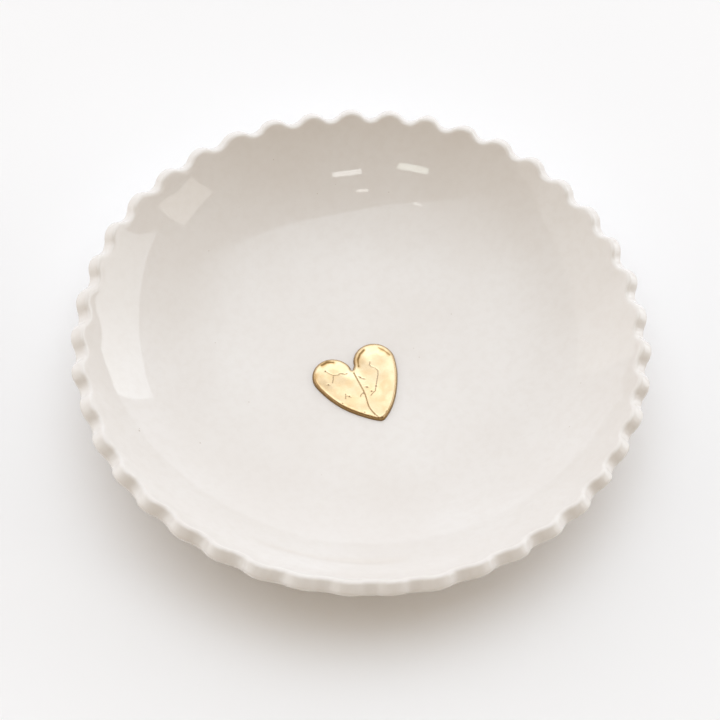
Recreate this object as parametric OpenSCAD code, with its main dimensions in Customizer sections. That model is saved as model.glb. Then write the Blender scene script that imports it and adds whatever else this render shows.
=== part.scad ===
// Round trinket dish, built the way a potter builds it. A rolled slab of white clay is cut
// with a scalloped cutter and slumped into a shallow bowl, and a small pressed heart is
// stuck to its floor. Glaze coats everything but the foot, and gold lustre covers the heart
// on top of the glaze. Each layer is a solid of its own, and touches the one under it.
// Millimetres. +Z is up, the foot stands on Z = 0, and the heart's point is towards -Y.

/* [Dish] */
// Diameter over the scallops, with the glaze
dish_d = 109; // [92:1:128]
// Radius of the flat floor, and of the flat foot under it
floor_r = 20.5; // [16:0.5:26]
// Thickness of the rolled clay
slab_t = 2.4; // [1.8:0.1:3.4]
// Slope of the wall at the rim, in degrees above level
rim_slope = 53; // [42:1:55]

/* [Scalloped rim] */
// Number of scallops round the rim
scallops = 42; // [38:2:48]
// Radius of each scallop's arc
scallop_r = 5.5; // [5.2:0.1:6.5]

/* [Heart] */
// Height of the clay heart, from its point to the top of its lobes
heart_h = 16.1; // [14.5:0.1:18]
// Radius of each of the two lobes
lobe_r = 3.65; // [3.3:0.05:4.1]
// Distance from the middle line to the centre of each lobe
lobe_x = 4.3; // [3.9:0.1:4.8]
// Radius of the long curve down each side to the point
flank_r = 18; // [14:0.5:30]
// Height that the heart stands above the clay floor
heart_t = 0.75; // [0.6:0.05:1.2]
// Depth of the hollow pressed into each half
hollow_d = 0.25; // [0.15:0.05:0.3]
// Depth of the crease between the halves
crease_d = 0.25; // [0.15:0.05:0.3]
// Middle of the heart on the floor, across
heart_x = -0.2; // [-4:0.1:4]
// Middle of the heart on the floor, front to back
heart_y = -2.4; // [-4:0.1:4]

/* [Glaze and gold] */
// Thickness of the glaze
glaze_t = 0.25; // [0.15:0.05:0.35]
// Thickness that stands for the much thinner film of gold
gold_t = 0.1; // [0.05:0.05:0.2]
// Radius within which the foot is left bare
bare_r = 28; // [26.5:0.5:34]

/* [Hidden] */
$fa = 2;
$fs = 0.3;

// In the X-Z half plane, the wall's two arcs share a centre above the edge of the floor.
under_r = (dish_d / 2 - glaze_t - floor_r) / sin(rim_slope);
inner_r = under_r - slab_t;
wall_c = [floor_r, under_r];

// The rim's direction up the slope, the middle of its edge, and the scallops' centres.
up_slope = [cos(rim_slope), sin(rim_slope)];
edge_mid = wall_c + (under_r - slab_t / 2) * [up_slope.y, -up_slope.x];
scallop_c = edge_mid - scallop_r * up_slope;

// The slab runs on this many degrees past the edge, so that the cutter makes the whole edge.
past_edge = 2;
// How far the cutter reaches through the slab on each side, because the slab curves away.
cutter_past = 3;
// Side of the square bar whose corner presses the heart's crease.
crease_bar = 2;

// Each flank's circle passes through the heart's point and is tangent to the lobe's circle
// at the angle join_a, as seen from the lobe's centre.
lobe_c = [lobe_x, heart_h - lobe_r];
centre_gap = flank_r - lobe_r;
join_cos = (centre_gap ^ 2 + lobe_c * lobe_c - flank_r ^ 2) / (2 * centre_gap * norm(lobe_c));
join_a = atan2(lobe_c.y, lobe_c.x) - acos(join_cos);
flank_c = lobe_c - centre_gap * [cos(join_a), sin(join_a)];
point_a = atan2(-flank_c.y, -flank_c.x);
// The lobes' inner sides run down to this point on the middle line.
notch_y = lobe_c.y - 0.5;

// The hollow in each half is a shallow spherical dimple of this radius, at this place.
dimple_r = 2.9;
dimple_c = [3.9, heart_h * 0.64];
press_r = (dimple_r ^ 2 + hollow_d ^ 2) / (2 * hollow_d);

function arc(c, r, from, to, steps) =
    [for (i = [0:steps]) let (a = from + (to - from) * i / steps) c + r * [cos(a), sin(a)]];

// Cross-section of the slumped slab, thicker by grow on every side.
module slab_section(grow) {
    translate([0, -grow])
        square([floor_r, slab_t + 2 * grow]);
    translate(wall_c)
        intersection() {
            difference() {
                circle(r = under_r + grow);
                circle(r = inner_r - grow);
            }
            polygon([
                [0, 0],
                [0, -2 * under_r],
                2 * under_r * [sin(rim_slope + past_edge), -cos(rim_slope + past_edge)]
            ]);
        }
}

// One round cutter for each scallop, square to the slab's slope, and one for all within them.
module scalloped_cutter(grow) {
    cylinder(r = scallop_c.x, h = dish_d, center = true);
    for (i = [0:scallops - 1])
        rotate([0, 0, i * 360 / scallops])
            translate([scallop_c.x, 0, scallop_c.y])
                rotate([0, -rim_slope, 0])
                    cylinder(r = scallop_r + grow, h = slab_t + 2 * cutter_past, center = true);
}

module dish_form(grow) {
    intersection() {
        rotate_extrude() slab_section(grow);
        scalloped_cutter(grow);
    }
}

// The right half of the heart, from its point up the flank, over the lobe and to the notch.
module half_heart() {
    polygon(concat(
        arc(flank_c, flank_r, point_a, join_a, 12),
        arc(lobe_c, lobe_r, join_a, 180, 24),
        [[0, notch_y]]
    ));
}

// The pressed heart, thicker by grow, from the height base up.
module heart_form(grow, base) {
    top = slab_t + heart_t + grow;
    translate([heart_x, heart_y - heart_h / 2, 0])
        difference() {
            translate([0, 0, base])
                linear_extrude(top - base)
                    offset(r = grow)
                        union() {
                            half_heart();
                            mirror([1, 0]) half_heart();
                        }
            for (side = [-1, 1])
                translate([side * dimple_c.x, dimple_c.y, top - hollow_d + press_r])
                    sphere(r = press_r);
            translate([0, heart_h / 2, top - crease_d + grow * (sqrt(2) - 1)])
                rotate([0, -45, 0])
                    translate([0, -heart_h, 0])
                        cube([crease_bar, 2 * heart_h, crease_bar]);
        }
}

module clay_body() {
    color("linen")
        dish_form(0);
}

module heart_applique() {
    color("antiquewhite")
        heart_form(0, slab_t);
}

module glaze_coat() {
    color("ivory")
        difference() {
            union() {
                dish_form(glaze_t);
                heart_form(glaze_t, slab_t);
            }
            dish_form(0);
            heart_form(0, slab_t / 2);
            cylinder(r = bare_r, h = slab_t, center = true);
        }
}

module gold_lustre() {
    color("gold")
        difference() {
            heart_form(glaze_t + gold_t, slab_t + glaze_t);
            heart_form(glaze_t, slab_t);
        }
}

clay_body();
heart_applique();
glaze_coat();
gold_lustre();
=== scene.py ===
"""A round trinket dish with a scalloped rim, in milky white glaze, with a small gold heart
on its floor. Metres throughout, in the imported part's own frame: +Z is up, the foot stands on
Z = 0 and the heart's point is towards -Y."""

import math

import bpy
import numpy as np
from mathutils import Matrix, Vector
from mathutils.geometry import delaunay_2d_cdt


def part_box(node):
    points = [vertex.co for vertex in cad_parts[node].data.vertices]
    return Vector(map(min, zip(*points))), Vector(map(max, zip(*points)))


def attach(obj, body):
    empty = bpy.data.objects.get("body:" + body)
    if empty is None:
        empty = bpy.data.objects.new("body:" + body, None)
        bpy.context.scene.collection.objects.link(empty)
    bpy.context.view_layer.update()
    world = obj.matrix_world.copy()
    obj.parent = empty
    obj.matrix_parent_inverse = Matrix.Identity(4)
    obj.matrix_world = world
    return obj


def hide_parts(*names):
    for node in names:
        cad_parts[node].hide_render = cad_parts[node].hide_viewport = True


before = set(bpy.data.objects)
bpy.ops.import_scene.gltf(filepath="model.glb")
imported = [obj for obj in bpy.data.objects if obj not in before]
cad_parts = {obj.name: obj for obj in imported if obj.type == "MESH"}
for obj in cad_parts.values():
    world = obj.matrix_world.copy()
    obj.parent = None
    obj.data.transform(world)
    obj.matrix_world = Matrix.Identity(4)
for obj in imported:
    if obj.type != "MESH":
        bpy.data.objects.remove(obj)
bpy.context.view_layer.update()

MM = 0.001
UM = 1e-6

# The slumped slab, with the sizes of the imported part.
DISH_R = 54.5 * MM
FLOOR_R = 20.5 * MM
SLAB_T = 2.4 * MM
GLAZE_T = 0.25 * MM
RIM_SLOPE = math.radians(53)
BARE_R = 28.0 * MM
SCALLOPS = 42

UNDER_R = (DISH_R - GLAZE_T - FLOOR_R) / math.sin(RIM_SLOPE)
MID_R = UNDER_R - SLAB_T / 2
CLAY_EDGE_S = FLOOR_R + MID_R * RIM_SLOPE
GLAZE_EDGE_S = CLAY_EDGE_S + GLAZE_T
CLAY_HALF = SLAB_T / 2
GLAZE_HALF = SLAB_T / 2 + GLAZE_T
GLAZE_FLOOR = SLAB_T + GLAZE_T

# The glaze makes the scallops rounder than the cutter left them, and fills in the notches
# between them. Their pitch is taken near the bottom of the notches.
SCALLOP_R = 3.3 * MM
NOTCH_R = 2.3 * MM
PITCH_INSET = 1.65 * MM
SCALLOP_STEPS = 11
NOTCH_STEPS = 4

# Going in from the edge, the mesh's rings follow the scallops at first and turn into circles
# over this range. A circle lies a little inside the peaks, at about the scallops' mean. The
# scallops' outline moves inwards by DEEPEST_SCALLOP at the most, so that its arcs stay round.
TURN_ROUND = (0.8 * MM, 5.0 * MM)
CIRCLE_INSET = 0.6 * MM
DEEPEST_SCALLOP = 3 * MM
# The rings are finely spaced within this band, and the innermost one is at MIDDLE_S.
FINE_BAND = 6 * MM
MIDDLE_S = 1 * MM
# The two rings on the flat of the edge, as shares of the way from its middle to its rounding.
EDGE_RINGS = (0.4, -0.4)

# How much the slab's edge is rounded, bare and glazed, and the gap from the clay to the inner
# side of the glaze. The lip at the foot is this wide, with rings at these shares of the glaze.
CLAY_ROUNDING = 0.3 * MM
GLAZE_ROUNDING = 0.75 * MM
GLAZE_GAP = 0.02 * MM
LIP_WIDTH = 0.25 * MM
LIP_RINGS = (0.75, 0.3)

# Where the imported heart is. The point of the hand-made one is a little to the left.
gold_low, gold_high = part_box("gold_lustre")
POINT_ASIDE = 0.25 * MM
HEART_POINT_X = (gold_low[0] + gold_high[0]) / 2 - POINT_ASIDE
HEART_POINT_Y = gold_low[1]


# ------------------------------------------------------------------ small helpers

def smooth(low, high, x):
    """0 below low, 1 above high, and a smooth rise between."""
    t = np.clip((x - low) / (high - low), 0.0, 1.0)
    return t * t * (3 - 2 * t)


def waves(angle, terms):
    """A smooth closed wobble: the sum of size * sin(count * angle + phase)."""
    return sum(size * np.sin(count * angle + phase) for count, size, phase in terms)


def hills(x, y, terms):
    """A smooth rolling height: the sum of size * sin of waves crossing the floor."""
    return sum(size * np.sin((x * math.cos(turn) + y * math.sin(turn)) * 2 * math.pi / length
                             + phase)
               for size, length, turn, phase in terms)


def link_piece(name, points, faces, material):
    """A new smooth-shaded object in the scene."""
    mesh = bpy.data.meshes.new(name)
    mesh.from_pydata(np.asarray(points).tolist(), [], faces)
    mesh.validate()
    mesh.shade_smooth()
    mesh.materials.append(material)
    piece = bpy.data.objects.new(name, mesh)
    bpy.context.scene.collection.objects.link(piece)
    return piece


def ring_faces(count, rings):
    """Faces over rings of count points each, closed by one point at each end."""
    step = np.arange(count)
    after = (step + 1) % count
    faces = []
    for k in range(rings - 1):
        a, b = 1 + k * count, 1 + (k + 1) * count
        faces += np.stack([a + step, b + step, b + after, a + after], 1).tolist()
    last, end = 1 + (rings - 1) * count, 1 + rings * count
    faces += [[0, 1 + i, 1 + j] for i, j in zip(step.tolist(), after.tolist())]
    faces += [[end, last + j, last + i] for i, j in zip(step.tolist(), after.tolist())]
    return faces


# ------------------------------------------------------------------ the slab's shape

def slab_radius(s, lift=0.0):
    """Distance from the dish's axis of the point s along the slab, lift off its mid surface."""
    bend = np.maximum(s - FLOOR_R, 0) / MID_R
    return np.minimum(s, FLOOR_R) + (MID_R - lift) * np.sin(bend)


def slab_point(s, phi, lift):
    """The point s along the slab from its middle, phi round it, lift off its mid surface."""
    bend = np.maximum(s - FLOOR_R, 0) / MID_R
    r = slab_radius(s, lift)
    z = UNDER_R - (MID_R - lift) * np.cos(bend)
    return np.stack([r * np.cos(phi), r * np.sin(phi), z], -1)


HALF_PITCH = math.pi / SCALLOPS
PITCH_R = slab_radius(CLAY_EDGE_S - PITCH_INSET)
NOTCH_X = PITCH_R * HALF_PITCH
NOTCH_Y = math.sqrt((SCALLOP_R + NOTCH_R) ** 2 - NOTCH_X ** 2) - SCALLOP_R
MEET = math.atan2(NOTCH_X, NOTCH_Y + SCALLOP_R)
SCALLOP_TURN = np.linspace(-MEET, MEET, SCALLOP_STEPS + 1)
NOTCH_TURN = np.linspace(0, MEET, NOTCH_STEPS + 1)[:-1]


def scallop_outline(inset):
    """One scallop from notch to notch, laid flat: places across it and out from its peak."""
    notch_r, peak_r = NOTCH_R + inset, SCALLOP_R - inset
    left = np.stack([-NOTCH_X + notch_r * np.sin(NOTCH_TURN),
                     NOTCH_Y - notch_r * np.cos(NOTCH_TURN)], -1)
    peak = np.stack([peak_r * np.sin(SCALLOP_TURN),
                     peak_r * np.cos(SCALLOP_TURN) - SCALLOP_R], -1)
    right = left[:0:-1] * [-1, 1]
    return np.concatenate([left, peak, right])


RING_COUNT = SCALLOPS * len(scallop_outline(0))


def slab_ring(inset, lift, edge_s):
    """A ring inset from the scallops' peaks. It follows them near the edge and turns into a
    plain circle further in."""
    roundness = smooth(*TURN_ROUND, inset)
    shape, base = scallop_outline(min(inset, DEEPEST_SCALLOP)), scallop_outline(0)
    s_own = edge_s + shape[:, 1]
    s_circle = edge_s - inset - CIRCLE_INSET
    s = s_own + (s_circle - s_own) * roundness
    across = shape[:, 0] + (base[:, 0] - shape[:, 0]) * roundness
    middles = 2 * HALF_PITCH * np.arange(SCALLOPS)[:, None]
    phi = (middles + across[None, :] / PITCH_R).ravel()
    return slab_point(np.tile(s, SCALLOPS), phi, lift)


def insets(edge_s, rounding, stop_s, fine, coarse):
    """Distances in from the edge, finely spaced near it and coarsely further in, to stop_s."""
    near = np.arange(rounding, FINE_BAND, fine)
    far = np.linspace(FINE_BAND, edge_s - CIRCLE_INSET - stop_s,
                      max(2, round((edge_s - stop_s - FINE_BAND) / coarse)))
    return np.concatenate([near, far])


def edge_section(half, rounding, steps):
    """(inset, lift) over the edge of the slab, from its upper face to its lower one."""
    turn = np.linspace(0, math.pi / 2, steps + 1)
    upper = [(rounding * (1 - math.sin(t)), half - rounding * (1 - math.cos(t))) for t in turn]
    side = [(0.0, (half - rounding) * share) for share in EDGE_RINGS]
    lower = [(inset, -lift) for inset, lift in reversed(upper)]
    return upper[1:] + side + lower


def slab_skin(edge_s, half, rounding, stop_s, steps, fine=0.6 * MM, coarse=1.6 * MM):
    """Rings over the slab's upper face from its middle, round its edge, and back under it as
    far as stop_s."""
    upper = [(inset, half) for inset in insets(edge_s, rounding, MIDDLE_S, fine, coarse)[::-1]]
    lower = [(inset, -half) for inset in insets(edge_s, rounding, stop_s, fine, coarse)[1:]]
    section = upper + edge_section(half, rounding, steps) + lower
    return [slab_ring(inset, lift, edge_s) for inset, lift in section]


# ------------------------------------------------------------------ the potter's hand

# How far the dish is from round, and the direction of its long axis. Then how the rim strays
# from even, as waves round it (count, size, phase): its height, how far it spreads, how far
# only its very edge does, and where the scallops fall along it, in radians.
OVAL = 0.0137
OVAL_TURN = math.radians(11)
RIM_LIFT = [(2, 0.20 * MM, 0.4), (3, 0.15 * MM, 2.1), (5, 0.08 * MM, 4.0), (9, 0.05 * MM, 1.0)]
RIM_SPREAD = [(3, 0.12 * MM, 0.57), (4, 0.08 * MM, 5.52), (5, 0.12 * MM, 5.02)]
EDGE_SPREAD = [(11, 0.08 * MM, 2.6), (23, 0.07 * MM, 5.1), (37, 0.06 * MM, 0.9)]
RIM_SHIFT = [(1, 0.0233, 3.80), (2, 0.0067, 2.90), (3, 0.0137, 6.24), (4, 0.0045, 0.79),
             (13, 0.0018, 3.9), (29, 0.0016, 2.2)]
# The strays of the rim, and of its edge, set in over these shares of the dish's radius.
RIM_BAND = (0.45, 1.0)
EDGE_BAND = (0.84, 0.98)
# Slow unevenness of the floor: height, length, direction and phase of each wave. The foot has
# none, because it sets in over the last part of the clay's thickness, from this share up.
FLOOR_HILLS = [(26 * UM, 31 * MM, 0.3, 1.0), (20 * UM, 23 * MM, 1.5, 4.4),
               (12 * UM, 15 * MM, 2.4, 0.3), (7 * UM, 9.5 * MM, 0.9, 2.8)]
UPPER_FACE_FROM = 0.9


def by_hand(points):
    """Moves the even shape by what a hand-cut, hand-slumped and hand-glazed dish strays."""
    x, y, z = points.T
    r, phi = np.hypot(x, y), np.arctan2(y, x)
    out = (r / DISH_R) ** 2
    near_rim, near_edge = smooth(*RIM_BAND, r / DISH_R), smooth(*EDGE_BAND, r / DISH_R)
    phi_new = phi + near_rim * waves(phi, RIM_SHIFT)
    r_new = (r * (1 + out * OVAL * np.cos(2 * (phi - OVAL_TURN)))
             + near_rim * waves(phi, RIM_SPREAD) + near_edge * waves(phi, EDGE_SPREAD))
    z_new = z + near_rim * waves(phi, RIM_LIFT)
    above = smooth(SLAB_T * UPPER_FACE_FROM, SLAB_T, z) * (1 - near_rim)
    z_new = z_new + above * hills(x, y, FLOOR_HILLS)
    return np.stack([r_new * np.cos(phi_new), r_new * np.sin(phi_new), z_new], -1)


def skin_mesh(name, rings, top, bottom, material):
    """A closed mesh over the rings, with its two end points at heights top and bottom."""
    points = np.concatenate([[[0, 0, top]], *rings, [[0, 0, bottom]]])
    return link_piece(name, by_hand(points), ring_faces(RING_COUNT, len(rings)), material)


# ------------------------------------------------------------------ dish and glaze

def clay_slab(material):
    """The bare slab, seen only on the foot."""
    rings = slab_skin(CLAY_EDGE_S, CLAY_HALF, CLAY_ROUNDING, MIDDLE_S, steps=2, coarse=2.4 * MM)
    return skin_mesh("clay_slab", rings, SLAB_T, 0.0, material)


def glaze_skin(material):
    """The glaze: a closed shell over the slab, open under the foot, where it ends in a soft
    rounded lip."""
    outer = slab_skin(GLAZE_EDGE_S, GLAZE_HALF, GLAZE_ROUNDING, BARE_R, steps=5)
    phi = np.arctan2(outer[-1][:, 1], outer[-1][:, 0])
    lip_s = np.full(RING_COUNT, BARE_R - LIP_WIDTH)
    lip = [slab_point(lip_s, phi, -CLAY_HALF - GLAZE_T * share) for share in LIP_RINGS]
    inner = slab_skin(CLAY_EDGE_S, CLAY_HALF + GLAZE_GAP, CLAY_ROUNDING, BARE_R,
                      steps=2, fine=1.2 * MM, coarse=3 * MM)
    rings = outer + lip + inner[::-1]
    return skin_mesh("glaze_skin", rings, GLAZE_FLOOR, SLAB_T + GLAZE_GAP, material)


# ------------------------------------------------------------------ the heart

# Heart sizes are in millimetres from its point, across and up. Each half, right (1) and left
# (-1), has its own lobe (the middle of its round top and that round's radius) and its own
# radius down its flank. The round top ends at LOBE_END, and a straight run goes from there
# down to the notch. The point leans over to the right, less and less up to LEAN_TOP.
LOBES = {1: ((4.8, 12.7), 4.1), -1: ((4.0, 12.75), 4.05)}
FLANK_R = {1: 18.0, -1: 20.0}
LOBE_END = math.radians(168)
HEART_NOTCH_Y = 12.5
POINT_LEAN = 0.45
LEAN_TOP = 7.0

# The outline is softened in many small passes, the more so near the point.
SOFTEN_PASSES = 40
SOFTEN = 0.06
SOFTEN_POINT = 0.35
POINT_BAND = (0.3, 1.5)

# The crease between the halves strays to the left of the middle line, most of all low down:
# how far at most, at what height and over what reach. It starts CREASE_FROM above the point
# and stops CREASE_SHORT below the notch.
CREASE_ASIDE = -0.12
CREASE_BEND = (-0.65, 3.6, 2.3)
CREASE_FROM = 0.7
CREASE_SHORT = 0.15

# The gold film's thickness, how far its edge is sunk in the glaze, and the gap to the clay
# under it. Where the film ends, the clay heart still has its least height.
FILM_T = 0.1
FILM_FOOT = 0.12
PAD_GAP = 0.01
PAD_LEAST = 0.02

# The heart's height: its rounded shoulder, the left half a little lower than the right, a
# hollow over the whole and a deeper one in the lobes, the fold of the crease, and slow dents.
# The bands are distances in from the edge, except LOBE_BAND, which is up from the point.
HEART_TOP = (gold_high[2] - GLAZE_FLOOR) / MM + FILM_FOOT
SHOULDER = 0.62
LEFT_LOWER = 0.06
STEP_BLUR = 0.09
HOLLOW = 0.05
LOBE_HOLLOW = 0.17
HOLLOW_BAND = (0.5, 2.6)
LOBE_BAND = (8.0, 14.0)
FOLD_DEPTH = 0.15
FOLD_WIDTH = 0.075
FOLD_BAND = (0.05, 0.4)
DENTS = [(0.016, 5.2, 0.4, 1.0), (0.010, 3.7, 1.7, 2.0), (0.004, 2.3, 2.6, 0.5)]
DENT_BAND = (0.3, 1.5)

# The heart's mesh has rows of points at these distances in from its outline, to the sides of
# its crease and its cracks, and round its pits.
ROW_STEP = 0.16
CRACK_STEP = 0.1
OUTLINE_ROWS = (0.03, 0.08, 0.15, 0.25, 0.38, 0.54, 0.74)
CREASE_ROWS = (0, 0.06, -0.06, 0.12, -0.12, 0.2, -0.2)
CRACK_ROWS = (0, 0.05, -0.05, 0.1, -0.1)
PIT_RINGS = (0.07, 0.16, 0.27)
PIT_SIDES = 8
# An even grid of triangles fills the field between the rows, clear of their points by this
# many steps. GRID_ROW is the distance between the grid's rows, in steps.
FIELD_STEP = 0.15
GRID_ROW = 0.866
FIELD_CLEAR = 0.45
# Points too near the outline are left out: those of its own rows within this share of their
# depth, and those of the other rows and of the field within these distances.
ROW_LEAST = 0.9
TIGHT_EDGE = 0.8
FIELD_EDGE = 0.85
MERGE_WITHIN = 2e-3
TINY = 1e-12

# Hair cracks in the gold, as lines through points of the heart, and the pits along them.
CRACKS = [
    [(-4.9, 14.4), (-4.3, 13.5), (-3.9, 13.0), (-3.0, 12.7), (-2.5, 12.9), (-1.8, 12.3),
     (-1.3, 12.2)],
    [(-3.9, 13.0), (-4.3, 12.2), (-4.8, 11.5)],
    [(-6.0, 11.5), (-5.5, 11.3)],
    [(-3.6, 8.2), (-3.8, 7.7), (-4.1, 7.2)],
    [(-3.5, 7.7), (-3.0, 7.1)],
    [(4.2, 11.2), (4.4, 10.4), (4.0, 9.6), (3.3, 8.6), (2.6, 7.6), (1.9, 6.5), (1.5, 6.4),
     (1.1, 6.8)],
    [(1.6, 6.4), (1.1, 6.2), (0.6, 5.9)],
    [(3.9, 12.9), (3.5, 12.3), (3.6, 11.8), (3.9, 11.5)],
    [(0.4, 10.7), (0.8, 10.0), (1.3, 9.7)],
    [(0.5, 8.1), (1.0, 7.8)],
    [(-1.3, 6.5), (-0.9, 6.9), (-0.4, 7.1)],
    [(2.0, 1.7), (1.4, 1.1), (0.6, 0.8)],
]
PITS = [(0.8, 7.9), (-0.4, 7.0), (-0.3, 1.4), (0.5, 0.8), (-2.1, 3.0), (-5.1, 6.5),
        (-5.7, 11.4), (-4.9, 14.4), (1.2, 6.7), (2.5, 7.4), (0.6, 10.4), (-3.2, 7.4)]
CRACK_WIDTH = 0.085
CRACK_DEPTH = 0.05
PIT_WIDTH = 0.19
# The crease is darkened as painted shade; it is finer than a crack and not quite as dark.
CREASE_WIDTH = 0.7 * CRACK_WIDTH
CREASE_PAINTED_SHADE = 0.9
# A crack is never fainter than this share. It comes and goes at these rates, across the heart,
# up it and from one crack to the next.
CRACK_FAINT = 0.55
CRACK_WAVES = (7.3, 5.1, 2.0)

# Where the gold is browner, partly as lustre that has pooled and partly as painted shade and
# reflection on the heart's slopes: a line, the band's width and how brown it is.
POOL_AND_SHADE_LINES = [
    ([(-5.1, 15.8), (-3.9, 16.0), (-2.7, 15.5)], 0.40, 1.0),
    ([(-7.0, 14.4), (-7.6, 13.1), (-7.6, 11.4), (-7.3, 9.6), (-6.4, 7.5), (-5.0, 5.4),
      (-3.2, 3.3), (-1.2, 1.4)], 0.45, 0.62),
    ([(3.9, 15.6), (2.8, 15.1), (1.9, 14.1), (1.3, 12.7)], 0.34, 0.95),
    ([(6.8, 14.9), (7.5, 13.9), (8.0, 12.6)], 0.34, 0.8),
    ([(3.7, 7.2), (3.3, 5.9), (2.5, 4.2)], 0.70, 0.3),
]
# A band's width swings about its mean, at these rates across the heart and up it. The heart's
# side is brown too, as painted shade and reflection, falling off in two steps inside the edge:
# how much, from and to.
POOL_AND_SHADE_MEAN = 0.9
POOL_AND_SHADE_SWING = 0.25
POOL_AND_SHADE_WAVES = (2.3, -3.7)
SIDE_PAINTED_SHADE = 0.85
SIDE_SHADE_FALLS = [(0.1, 0.0, 0.12), (0.75, 0.12, 0.6)]


def crease_x(y):
    """The crease wanders a little from the heart's middle line."""
    most, middle, reach = CREASE_BEND
    return CREASE_ASIDE + most * np.exp(-((y - middle) / reach) ** 2)


def half_outline(side):
    """Points up one flank from the heart's point, over the lobe and down to the notch."""
    notch = (crease_x(HEART_NOTCH_Y) * side, HEART_NOTCH_Y)
    (cx, cy), lobe_r = LOBES[side]
    flank_r = FLANK_R[side]
    gap, far = flank_r - lobe_r, math.hypot(cx, cy)
    join = math.atan2(cy, cx) - math.acos((gap ** 2 + far ** 2 - flank_r ** 2) / (2 * gap * far))
    fx, fy = cx - gap * math.cos(join), cy - gap * math.sin(join)
    start = -math.acos(-fx / flank_r)
    flank = np.linspace(start, join, round(flank_r * (join - start) / ROW_STEP))
    lobe = np.linspace(join, LOBE_END, round(lobe_r * (LOBE_END - join) / ROW_STEP))[1:]
    rounds = np.concatenate([
        np.stack([fx + flank_r * np.cos(flank), fy + flank_r * np.sin(flank)], -1),
        np.stack([cx + lobe_r * np.cos(lobe), cy + lobe_r * np.sin(lobe)], -1)])
    return np.concatenate([rounds, drawn([rounds[-1], notch], ROW_STEP)[1:]]) * [side, 1]


def heart_outline():
    """The whole outline, closed, from the point up the right flank and back down the left,
    softened as the glaze and the gold soften it, most of all at the point."""
    right, left = half_outline(1), half_outline(-1)
    line = np.concatenate([right, left[-2:0:-1]])
    for _ in range(SOFTEN_PASSES):
        middle = (np.roll(line, 1, 0) + np.roll(line, -1, 0)) / 2
        give = SOFTEN + SOFTEN_POINT * (1 - smooth(*POINT_BAND, line[:, 1:]))
        line = line + (middle - line) * give
    return line + np.outer(1 - smooth(0, LEAN_TOP, line[:, 1]), (POINT_LEAN, 0))


def leftwards(along):
    """Unit steps square to the given directions, to their left."""
    along = along / np.hypot(*along.T)[:, None]
    return np.stack([-along[:, 1], along[:, 0]], -1)


def row_inside(line, depth):
    """The closed line moved inwards by depth."""
    return line + depth * leftwards(np.roll(line, -1, 0) - np.roll(line, 1, 0))


def drawn(points, step):
    """Points every step or so along a line through the given points."""
    ends = np.array(points, float)
    parts = [np.linspace(a, b, max(2, round(math.dist(a, b) / step)), endpoint=False)
             for a, b in zip(ends[:-1], ends[1:])]
    return np.concatenate(parts + [ends[-1:]])


def beside(line, offsets):
    """Copies of an open line at the given distances to its side."""
    across = leftwards(np.gradient(line, axis=0))
    return [line + offset * across for offset in offsets]


def distance_to(points, line, closed=False):
    """How far each point is from a line of segments."""
    ends = np.roll(line, -1, 0) if closed else line[1:]
    starts = line if closed else line[:-1]
    best = np.full(len(points), np.inf)
    for a, b in zip(starts, ends):
        ab = b - a
        t = np.clip(((points - a) @ ab) / max(ab @ ab, TINY), 0, 1)
        best = np.minimum(best, np.hypot(*(points - a - t[:, None] * ab).T))
    return best


def inside(points, outline):
    """Which points are inside the closed outline, by counting crossings."""
    x, y = points.T
    crossings = np.zeros(len(points), int)
    for (x0, y0), (x1, y1) in zip(outline, np.roll(outline, -1, 0)):
        if y0 != y1:
            spans = (y0 <= y) != (y1 <= y)
            crossings += spans & (x < x0 + (y - y0) * (x1 - x0) / (y1 - y0))
    return crossings % 2 == 1


def cracked(points, crease):
    """1 in the middle of a crack, a pit or the crease (painted shade), fading to 0 beside it."""
    worst = CREASE_PAINTED_SHADE * np.exp(-(distance_to(points, crease) / CREASE_WIDTH) ** 2)
    for k, line in enumerate(CRACKS):
        wave = np.column_stack([points, np.full(len(points), k)]) @ CRACK_WAVES
        rough = CRACK_FAINT + (1 - CRACK_FAINT) * np.sin(wave) ** 2
        near = distance_to(points, np.array(line))
        worst = np.maximum(worst, rough * np.exp(-(near / CRACK_WIDTH) ** 2))
    for pit in PITS:
        near = np.hypot(*(points - pit).T)
        worst = np.maximum(worst, np.exp(-(near / PIT_WIDTH) ** 2))
    return worst


def pooled_and_painted_shade(points, outline):
    """How brown the gold is, as pooled lustre and as painted shade and reflection: 1 in the
    worst of a band and on the heart's side.
    """
    edge = distance_to(points, outline, closed=True)
    most = SIDE_PAINTED_SHADE - sum(fall * smooth(low, high, edge) for fall, low, high in SIDE_SHADE_FALLS)
    swing = POOL_AND_SHADE_MEAN + POOL_AND_SHADE_SWING * np.sin(points @ POOL_AND_SHADE_WAVES)
    for line, width, share in POOL_AND_SHADE_LINES:
        near, spread = distance_to(points, np.array(line)), width * swing
        most = np.maximum(most, share * np.exp(-(near / spread) ** 2))
    return most


def heart_height(points, outline, crease):
    """Height in millimetres of the pressed heart above the film's foot: a rounded shoulder,
    hollow inside the lobes, and a fine crease where the right half overlaps the left."""
    edge, fold = distance_to(points, outline, closed=True), distance_to(points, crease)
    right = smooth(-STEP_BLUR, STEP_BLUR, points[:, 0] - crease_x(points[:, 1]))
    rim = np.clip(edge / SHOULDER, 0, 1)
    rise = np.sqrt(1 - (1 - rim) ** 2)
    top = HEART_TOP - LEFT_LOWER * (1 - right)
    pressed = HOLLOW + LOBE_HOLLOW * smooth(*LOBE_BAND, points[:, 1])
    hollow = smooth(*HOLLOW_BAND, edge) * pressed
    fold_gap = np.exp(-(fold / FOLD_WIDTH) ** 2) * smooth(*FOLD_BAND, edge)
    dents = hills(points[:, 0], points[:, 1], DENTS) * smooth(*DENT_BAND, edge)
    return rise * (top - hollow + dents - FOLD_DEPTH * fold_gap)


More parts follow.
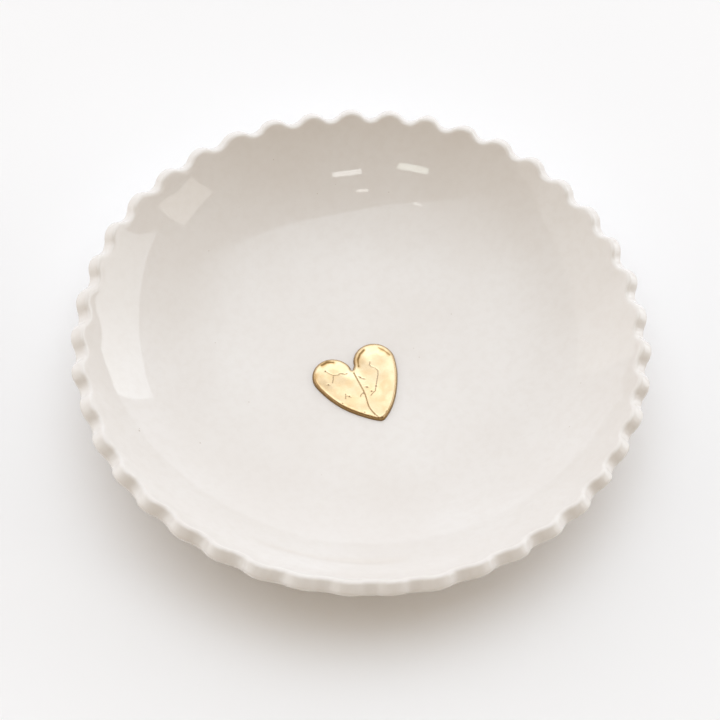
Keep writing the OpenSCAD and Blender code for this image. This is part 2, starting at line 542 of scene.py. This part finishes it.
def heart_plan():
    """The heart seen from above as points and triangles, with rows along its outline, its
    crease and its cracks, where the surface bends most."""
    outline = heart_outline()
    ys = np.arange(CREASE_FROM, HEART_NOTCH_Y - CREASE_SHORT, ROW_STEP)
    crease = np.stack([crease_x(ys), ys], -1)
    rows = [row_inside(outline, depth) for depth in OUTLINE_ROWS]
    rows = [row[distance_to(row, outline, closed=True) > ROW_LEAST * depth]
            for row, depth in zip(rows, OUTLINE_ROWS)]
    tight = beside(crease, CREASE_ROWS)
    for line in CRACKS:
        tight += beside(drawn(line, CRACK_STEP), CRACK_ROWS)
    turn = np.linspace(0, 2 * math.pi, PIT_SIDES + 1)[:-1]
    circle = np.stack([np.cos(turn), np.sin(turn)], -1)
    for pit in PITS:
        tight += [np.array([pit]) + radius * circle for radius in PIT_RINGS]
    tight = np.concatenate(tight)
    tight = tight[inside(tight, outline) & (distance_to(tight, outline, closed=True) > TIGHT_EDGE)]
    low, high = outline.min(0), outline.max(0)
    xs, ys = np.meshgrid(np.arange(low[0], high[0], FIELD_STEP),
                         np.arange(low[1], high[1], FIELD_STEP * GRID_ROW))
    xs[1::2] += FIELD_STEP / 2
    field = np.stack([xs.ravel(), ys.ravel()], -1)
    field = field[inside(field, outline) & (distance_to(field, outline, closed=True) > FIELD_EDGE)]
    spaced = np.ones(len(field), bool)
    for point in tight:
        spaced &= (np.abs(field - point) > FIELD_STEP * FIELD_CLEAR).any(1)
    points = np.concatenate([outline, *rows, tight, field[spaced]])
    around = [(i, (i + 1) % len(outline)) for i in range(len(outline))]
    flat, _, faces, *_ = delaunay_2d_cdt([Vector(p) for p in points.tolist()], around, [],
                                         1, MERGE_WITHIN)
    return np.array([tuple(p) for p in flat]), [list(f) for f in faces], outline, crease


def vertex_normals(points, faces):
    """The direction square to the triangles round each point."""
    tri = np.array(faces)
    corners = points[tri]
    normal = np.cross(corners[:, 1] - corners[:, 0], corners[:, 2] - corners[:, 0])
    total = np.zeros_like(points)
    for k in range(3):
        np.add.at(total, tri[:, k], normal)
    return total / np.linalg.norm(total, axis=1)[:, None]


def closed_between(top, bottom, faces):
    """Points and faces of the solid between two sheets that share the same triangles."""
    count, seen = len(top), {}
    for face in faces:
        for a, b in zip(face, face[1:] + face[:1]):
            seen[(a, b)] = (b, a) not in seen
            if (b, a) in seen:
                seen[(b, a)] = False
    side = [[b, a, a + count, b + count] for (a, b), open_edge in seen.items() if open_edge]
    under = [[i + count for i in reversed(face)] for face in faces]
    return np.concatenate([top, bottom]), faces + under + side


def heart_pieces(clay, gold):
    """The pressed clay heart, and the film of gold over its top and sides."""
    plan, faces, outline, crease = heart_plan()
    height = heart_height(plan, outline, crease)
    crack = cracked(plan, crease)
    height -= CRACK_DEPTH * crack
    place = np.stack([plan[:, 0] * MM + HEART_POINT_X, plan[:, 1] * MM + HEART_POINT_Y], -1)
    outer = np.column_stack([place, GLAZE_FLOOR + (height - FILM_FOOT) * MM])
    inward = vertex_normals(outer, faces)
    under_film = outer - inward * (FILM_T * MM)
    film = link_piece("gold_film", *closed_between(outer, under_film, faces), gold)
    # The pool values are partly pooled lustre and partly painted shade and reflection, and the
    # crack values hold painted shade along the crease.
    for name, values in (("crack", crack), ("pool_and_painted_shade", pooled_and_painted_shade(plan, outline))):
        shade = film.data.attributes.new(name, "FLOAT", "POINT")
        shade.data.foreach_set("value", np.concatenate([values, values]).astype(np.float32))
    top = outer - inward * ((FILM_T + PAD_GAP) * MM)
    base = top.copy()
    base[:, 2] = SLAB_T
    top[:, 2] = np.maximum(top[:, 2], SLAB_T + PAD_LEAST * MM)
    pad = link_piece("heart_pad", *closed_between(top, base, faces), clay)
    return pad, film


# ------------------------------------------------------------------ materials

def rgb(red, green, blue):
    """A colour given as 0-255 screen values."""
    def linear(c):
        c /= 255
        return c / 12.92 if c <= 0.04045 else ((c + 0.055) / 1.055) ** 2.4
    return linear(red), linear(green), linear(blue), 1.0


GLAZE_COOL, GLAZE_WARM = rgb(230, 225, 220), rgb(233, 229, 225)
GLAZE_MOTTLE, GLAZE_SPECK = rgb(225, 219, 213), rgb(165, 145, 122)
CLAY_LIGHT, CLAY_DARK = rgb(226, 214, 196), rgb(217, 203, 184)
CLAY_GRAIN, CLAY_PIT = rgb(190, 172, 150), rgb(128, 108, 88)
GOLD_LIGHT, GOLD_DARK = rgb(222, 201, 164), rgb(215, 188, 146)
# The pool colours are partly pooled lustre and partly painted shade and reflection; the crack
# colour is painted shade where it lies along the crease.
GOLD_POOL_AND_PAINTED_AMBER, GOLD_POOL_AND_PAINTED_BROWN, GOLD_CRACK_AND_CREASE_SHADE = rgb(170, 124, 54), rgb(84, 62, 32), rgb(96, 62, 34)
FLOOR_LIGHT, FLOOR_DARK = rgb(247, 247, 248), rgb(244, 244, 245)

# The sizes of the clouds and grain in each finish, and of its bumps, as (size, height).
GLAZE_CLOUDS, GLAZE_MOTTLES = 22 * MM, 1.6 * MM
GLAZE_BUMPS = [(2.6 * MM, 1.6 * UM), (0.6 * MM, 0.2 * UM)]
CLAY_PATCHES, CLAY_GRAINS = 9 * MM, 0.35 * MM
GRAIN_HEIGHT, PIT_DEPTH = 40 * UM, 60 * UM
GOLD_CLOUDS, GOLD_BUMPS = 2.6 * MM, (0.9 * MM, 6 * UM)
FLOOR_CLOUDS = 150 * MM

# Specks: spacing, size and share of places. A speck fades in from its edge to its core, which
# is this share of its size.
SMALL_SPECKS, LARGE_SPECKS = (3.2 * MM, 0.13 * MM, 0.30), (9.0 * MM, 0.24 * MM, 0.35)
CLAY_PITS = (1.8 * MM, 0.14 * MM, 0.4)
SPECK_CORE = 0.6
SMALL_STRENGTH, LARGE_STRENGTH, CLAY_PIT_STRENGTH = 0.45, 0.50, 0.7

# How a pattern is read: it is nothing at the first amount and full at the second. The other
# two numbers, if there are any, are what it gives at those.
CLOUDY = (0.35, 0.65)
MOTTLED = (0.42, 0.66, 0.0, 0.3)
GRAINY = (0.55, 0.75, 0.0, 0.6)
AMBER = (0.0, 1.0, 0.0, 0.85)
BROWNED = (0.5, 1.0, 0.0, 0.85)
CRACK_DARK = (0.25, 0.9, 0.0, 0.9)
GOLD_ROUGHNESS = (0.3, 0.7, 0.16, 0.26)
FLOOR_CLOUDY = (0.3, 0.7)


def add_node(tree, kind, inputs=(), **settings):
    """A new node with its settings. Each of its inputs is linked or given its value."""
    node = tree.nodes.new(kind)
    for key, value in settings.items():
        setattr(node, key, value)
    for key, value in dict(inputs).items():
        if isinstance(value, bpy.types.NodeSocket):
            tree.links.new(value, node.inputs[key])
        else:
            node.inputs[key].default_value = value
    return node


class Finish:
    """A Principled material, with short ways to add the nodes that pattern it."""

    def __init__(self, name, **sockets):
        self.material = bpy.data.materials.new(name)
        self.material.use_nodes = True
        self.tree = self.material.node_tree
        self.shader = self.tree.nodes["Principled BSDF"]
        for socket, value in sockets.items():
            self.shader.inputs[socket.replace("_", " ")].default_value = value
        self.place = self.add("ShaderNodeTexCoord").outputs["Object"]

    def add(self, kind, inputs=(), **settings):
        return add_node(self.tree, kind, inputs, **settings)

    def noise(self, size, detail=3.0, rough=0.55):
        """Cloudy noise with blobs about size metres across."""
        return self.add("ShaderNodeTexNoise", {"Vector": self.place, "Scale": 1 / size,
                                               "Detail": detail, "Roughness": rough}
                        ).outputs["Fac"]

    def ramp(self, value, low, high, to_low=0.0, to_high=1.0):
        """to_low where value is low, to_high where it is high, and straight between."""
        return self.add("ShaderNodeMapRange", {0: value, 1: low, 2: high, 3: to_low, 4: to_high}
                        ).outputs[0]

    def math(self, operation, a, b):
        return self.add("ShaderNodeMath", {0: a, 1: b}, operation=operation).outputs[0]

    def mix(self, share, first, second):
        """The first colour, turning into the second as share goes from 0 to 1."""
        return self.add("ShaderNodeMix", {0: share, 6: first, 7: second}, data_type="RGBA"
                        ).outputs[2]

    def specks(self, spacing, size, share):
        """1 on a few round specks of the given size, 0 elsewhere."""
        cells = self.add("ShaderNodeTexVoronoi", {"Vector": self.place, "Scale": 1 / spacing})
        edge = size / spacing
        near = self.ramp(cells.outputs["Distance"], edge, SPECK_CORE * edge)
        lot = self.add("ShaderNodeSeparateColor", {0: cells.outputs["Color"]}).outputs[0]
        chosen = self.math("LESS_THAN", lot, share)
        return self.math("MULTIPLY", near, chosen)

    def bump(self, heights):
        """Bumps of the given real heights, as pairs of (pattern, height in metres)."""
        normal = None
        for pattern, height in heights:
            inputs = {"Height": pattern, "Distance": height}
            if normal is not None:
                inputs["Normal"] = normal
            normal = self.add("ShaderNodeBump", inputs).outputs[0]
        self.set("Normal", normal)

    def set(self, socket, value):
        self.tree.links.new(value, self.shader.inputs[socket])


def white_glaze():
    """Milky white with faint clouds and mottling, sparse brown specks and a shallow ripple."""
    finish = Finish("white_glaze", Roughness=0.035, IOR=1.52)
    cloud, mottle = finish.noise(GLAZE_CLOUDS, 2.0), finish.noise(GLAZE_MOTTLES, 4.0)
    body = finish.mix(finish.ramp(cloud, *CLOUDY), GLAZE_COOL, GLAZE_WARM)
    body = finish.mix(finish.ramp(mottle, *MOTTLED), body, GLAZE_MOTTLE)
    for specks, strength in ((SMALL_SPECKS, SMALL_STRENGTH), (LARGE_SPECKS, LARGE_STRENGTH)):
        speck = finish.specks(*specks)
        body = finish.mix(finish.math("MULTIPLY", speck, strength), body, GLAZE_SPECK)
    finish.set("Base Color", body)
    finish.bump([(finish.noise(size, 2.0), height) for size, height in GLAZE_BUMPS])
    return finish.material


def bare_clay():
    """Fired clay in slow patches of two shades, with grain and small dark pits."""
    finish = Finish("bare_clay", Roughness=0.9)
    grain, patch = finish.noise(CLAY_GRAINS, 5.0, rough=0.7), finish.noise(CLAY_PATCHES)
    body = finish.mix(finish.ramp(patch, *CLOUDY), CLAY_LIGHT, CLAY_DARK)
    body = finish.mix(finish.ramp(grain, *GRAINY), body, CLAY_GRAIN)
    pit = finish.specks(*CLAY_PITS)
    body = finish.mix(finish.math("MULTIPLY", pit, CLAY_PIT_STRENGTH), body, CLAY_PIT)
    finish.set("Base Color", body)
    finish.bump([(grain, GRAIN_HEIGHT), (finish.math("SUBTRACT", 1.0, pit), PIT_DEPTH)])
    return finish.material


def gold_lustre():
    """Worn gold, which turns amber and then brown where it has pooled and as painted shade and
    reflection, and dark in its cracks and, as painted shade, along its crease.
    """
    finish = Finish("gold_lustre", Metallic=1.0)
    crack, pool_and_painted_shade = [finish.add("ShaderNodeAttribute", attribute_name=name).outputs["Fac"]
                   for name in ("crack", "pool_and_painted_shade")]
    cloud = finish.noise(GOLD_CLOUDS)
    body = finish.mix(finish.ramp(cloud, *CLOUDY), GOLD_LIGHT, GOLD_DARK)
    # The amber and the brown are partly pooled lustre and partly painted shade and reflection.
    body = finish.mix(finish.ramp(pool_and_painted_shade, *AMBER), body, GOLD_POOL_AND_PAINTED_AMBER)
    body = finish.mix(finish.ramp(pool_and_painted_shade, *BROWNED), body, GOLD_POOL_AND_PAINTED_BROWN)
    # Along the crease this darkening is painted shade.
    body = finish.mix(finish.ramp(crack, *CRACK_DARK), body, GOLD_CRACK_AND_CREASE_SHADE)
    finish.set("Base Color", body)
    finish.set("Roughness", finish.ramp(cloud, *GOLD_ROUGHNESS))
    size, height = GOLD_BUMPS
    finish.bump([(finish.noise(size), height)])
    return finish.material


def pale_floor():
    """An even pale sheet, very slightly clouded."""
    finish = Finish("pale_floor", Roughness=0.8)
    share = finish.ramp(finish.noise(FLOOR_CLOUDS, 2.0), *FLOOR_CLOUDY)
    finish.set("Base Color", finish.mix(share, FLOOR_LIGHT, FLOOR_DARK))
    return finish.material


# ------------------------------------------------------------------ the studio

# Half the side of the pale floor sheet, in metres.
FLOOR_HALF = 3.0

# The camera looks down steeply from the front left, turned a little about its own line of
# sight, at a point near the dish's middle and about level with its rim.
CAMERA_TURN = math.radians(-32.07)
CAMERA_RISE = math.radians(57.6)
CAMERA_ROLL = math.radians(7.0)
CAMERA_DISTANCE = 480 * MM
CAMERA_LENS = 128.9
CAMERA_NEAREST = 10 * MM
LOOK_AT = Vector((-2.88 * MM, -4.36 * MM, 17.3 * MM))

# Soft panels facing the dish: name, azimuth, elevation, distance, width, height, and the
# brightness of each colour, where 1 is about that of the floor.
SOFT_PANELS = [
    ("back_card", 61.0, 13.0, 1.8, 1.50, 0.85, (1.35, 1.48, 1.56)),
    ("left_panel", -95.0, 18.0, 1.9, 2.60, 1.25, (0.58, 0.58, 0.56)),
    ("side_window", 100.0, 27.0, 1.8, 0.46, 0.50, (1.60, 1.55, 1.45)),
    ("front_lamp_right", 159.5, 54.5, 1.8, 0.26, 0.09, (5.2, 5.3, 5.3)),
    ("front_lamp_left", -169.5, 51.0, 1.8, 0.26, 0.11, (4.6, 5.1, 4.7)),
    ("high_lamp_right", 166.0, 65.3, 1.8, 0.11, 0.05, (5.0, 4.9, 4.7)),
    ("high_lamp_left", -157.0, 69.0, 1.8, 0.05, 0.04, (4.2, 4.1, 3.9)),
]
# The room is bright and neutral behind the dish, at the azimuth BRIGHT_SIDE, and dim and warm
# on the camera's side. The overhead light grows towards the zenith. It ends at a straight edge,
# square to the azimuth and elevation OVERHEAD_SIDE. The ranges are amounts of a direction, from
# -1 when facing away from it to 1 when facing it.
BRIGHT_SIDE = -8.0
BRIGHT_ROOM = (1.06, 1.05, 1.07, 1.0)
DIM_ROOM = (0.31, 0.22, 0.12, 1.0)
DIM_TO_BRIGHT = (-0.55, 0.7)
OVERHEAD = (1.20, 1.37, 1.53, 1.0)
OVERHEAD_RISE = (0.68, 1.0)
OVERHEAD_SIDE = (-30.0, 15.0)
OVERHEAD_EDGE = (-0.012, 0.012)
UNLIT = (0.0, 0.0, 0.0, 1.0)


def floor_sheet(material):
    half = FLOOR_HALF
    corners = [(-half, -half, 0), (half, -half, 0), (half, half, 0), (-half, half, 0)]
    link_piece("floor_sheet", corners, [[0, 1, 2, 3]], material)


def toward(azimuth, elevation):
    """The direction in the dish's frame of an azimuth measured clockwise from beyond the dish,
    as the camera sees it, and an elevation."""
    turn = math.radians(azimuth) - CAMERA_TURN
    up = math.radians(elevation)
    return Vector((math.sin(turn) * math.cos(up), math.cos(turn) * math.cos(up), math.sin(up)))


def camera():
    """The camera, placed by where it looks and from which side, height, distance and roll."""
    data = bpy.data.cameras.new("camera")
    data.lens = CAMERA_LENS
    data.clip_start = CAMERA_NEAREST
    view = bpy.data.objects.new("camera", data)
    bpy.context.scene.collection.objects.link(view)
    flat = math.cos(CAMERA_RISE)
    back = Vector((math.sin(CAMERA_TURN) * flat, -math.cos(CAMERA_TURN) * flat,
                   math.sin(CAMERA_RISE)))
    right = Vector((math.cos(CAMERA_TURN), math.sin(CAMERA_TURN), 0))
    axes = Matrix((right, back.cross(right), back)).transposed()
    axes = axes @ Matrix.Rotation(CAMERA_ROLL, 3, "Z")
    view.matrix_world = Matrix.Translation(LOOK_AT + back * CAMERA_DISTANCE) @ axes.to_4x4()
    bpy.context.scene.camera = view


def soft_panel(name, azimuth, elevation, distance, width, height, glow):
    """A rectangular light that faces the dish. Its size doesn't change its brightness."""
    data = bpy.data.lights.new(name, "AREA")
    data.shape, data.size, data.size_y = "RECTANGLE", width, height
    data.energy, data.color = math.pi * width * height, glow
    panel = bpy.data.objects.new(name, data)
    bpy.context.scene.collection.objects.link(panel)
    spot = toward(azimuth, elevation)
    panel.location = spot * distance
    panel.rotation_euler = spot.to_track_quat("Z", "Y").to_euler()


def room():
    """The room's light: its colour turns smoothly from the bright side to the dim side, and
    the overhead light is added to it."""
    world = bpy.data.worlds.new("room")
    world.use_nodes = True
    tree = world.node_tree
    way = tree.nodes.new("ShaderNodeTexCoord").outputs["Generated"]

    def along(direction, between, shape):
        """0 to 1 between two amounts of a direction."""
        amount = add_node(tree, "ShaderNodeVectorMath", {0: way, 1: direction},
                          operation="DOT_PRODUCT").outputs["Value"]
        return add_node(tree, "ShaderNodeMapRange", {0: amount, 1: between[0], 2: between[1]},
                        interpolation_type=shape).outputs["Result"]

    def mixed(share, first, second, blend="MIX"):
        return add_node(tree, "ShaderNodeMix", {0: share, 6: first, 7: second},
                        data_type="RGBA", blend_type=blend).outputs[2]

    brightness = along(toward(BRIGHT_SIDE, 0), DIM_TO_BRIGHT, "SMOOTHSTEP")
    sides = mixed(brightness, DIM_ROOM, BRIGHT_ROOM)
    overhead = mixed(along((0, 0, 1), OVERHEAD_RISE, "SMOOTHSTEP"), UNLIT, OVERHEAD)
    lit = mixed(along(toward(*OVERHEAD_SIDE), OVERHEAD_EDGE, "LINEAR"), sides, overhead, "ADD")
    tree.links.new(lit, tree.nodes["Background"].inputs["Color"])
    bpy.context.scene.world = world


def studio_light():
    """The panels and the room, with the picture's colours left as they are."""
    for panel in SOFT_PANELS:
        soft_panel(*panel)
    room()
    bpy.context.scene.view_settings.view_transform = "Standard"


# ------------------------------------------------------------------ build

glaze, clay, gold = white_glaze(), bare_clay(), gold_lustre()
slab, skin = clay_slab(clay), glaze_skin(glaze)
pad, film = heart_pieces(clay, gold)
for piece, node, slot in ((slab, "clay_body", "bisque_clay"),
                          (skin, "glaze_coat", "white_glaze"),
                          (pad, "heart_applique", "bisque_clay"),
                          (film, "gold_lustre", "gold_lustre")):
    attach(piece, "root")
    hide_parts(node)

floor_sheet(pale_floor())
studio_light()
camera()
